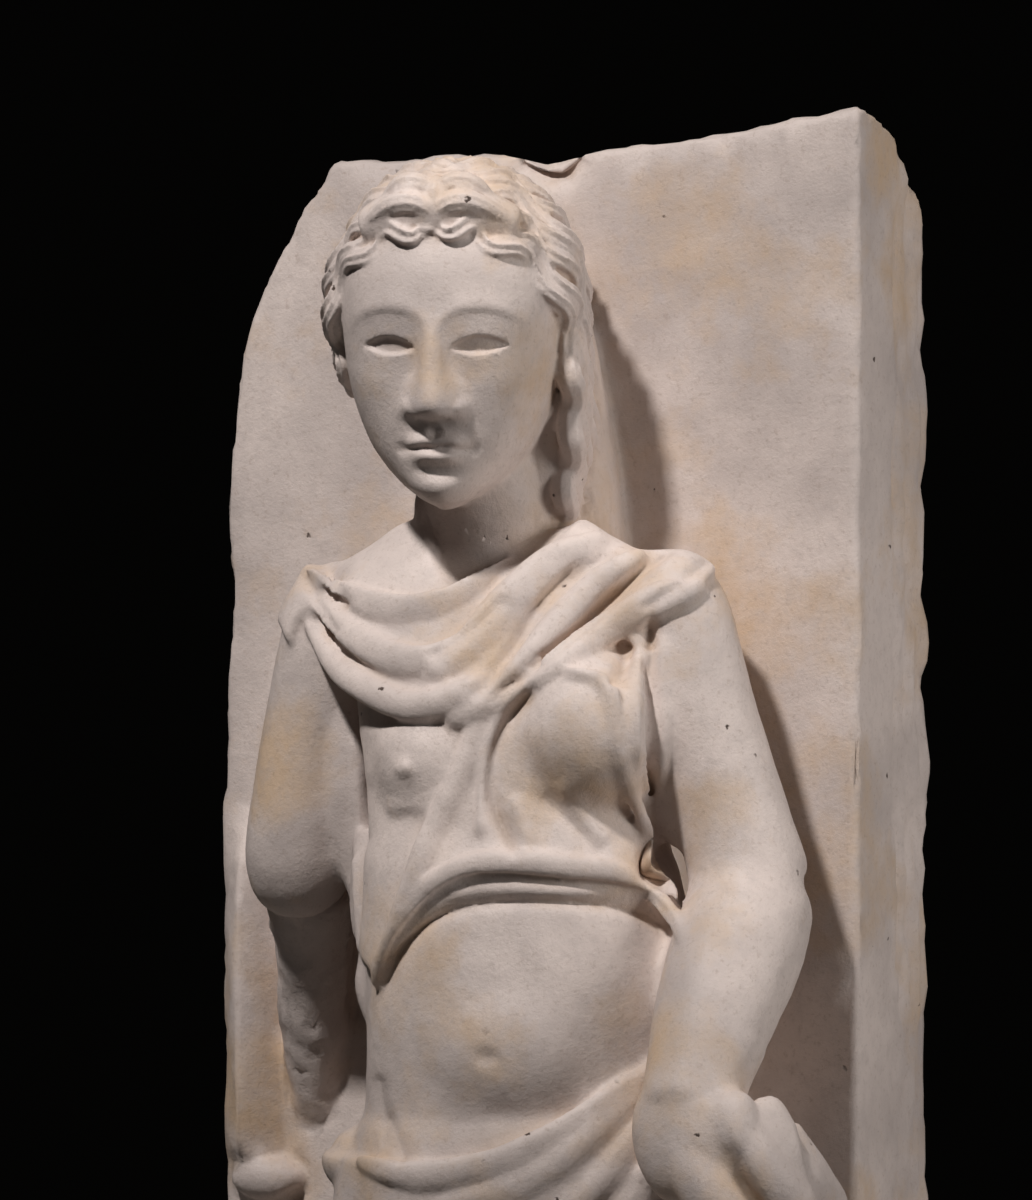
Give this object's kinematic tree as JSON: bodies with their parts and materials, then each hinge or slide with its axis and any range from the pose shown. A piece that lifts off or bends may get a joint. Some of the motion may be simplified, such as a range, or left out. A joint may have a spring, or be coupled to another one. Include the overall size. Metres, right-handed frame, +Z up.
{
  "type": "carved stone stele",
  "caption": "Marble slab with a broken outline, carved in one block with a draped standing woman in very high relief and a low rectangular base.",
  "frame": {"origin": "centre of the base's underside", "axes": "+Z up, -Y towards the viewer in front of the relief, +X to the viewer's right"},
  "size_m": [0.312, 0.21, 0.9848],
  "materials": {
    "marble": "weathered fine-grained marble, smoothed on the front and tooled on the sides and back"
  },
  "bodies": {
    "root": {"stele": "marble"}
  },
  "joints": []
}
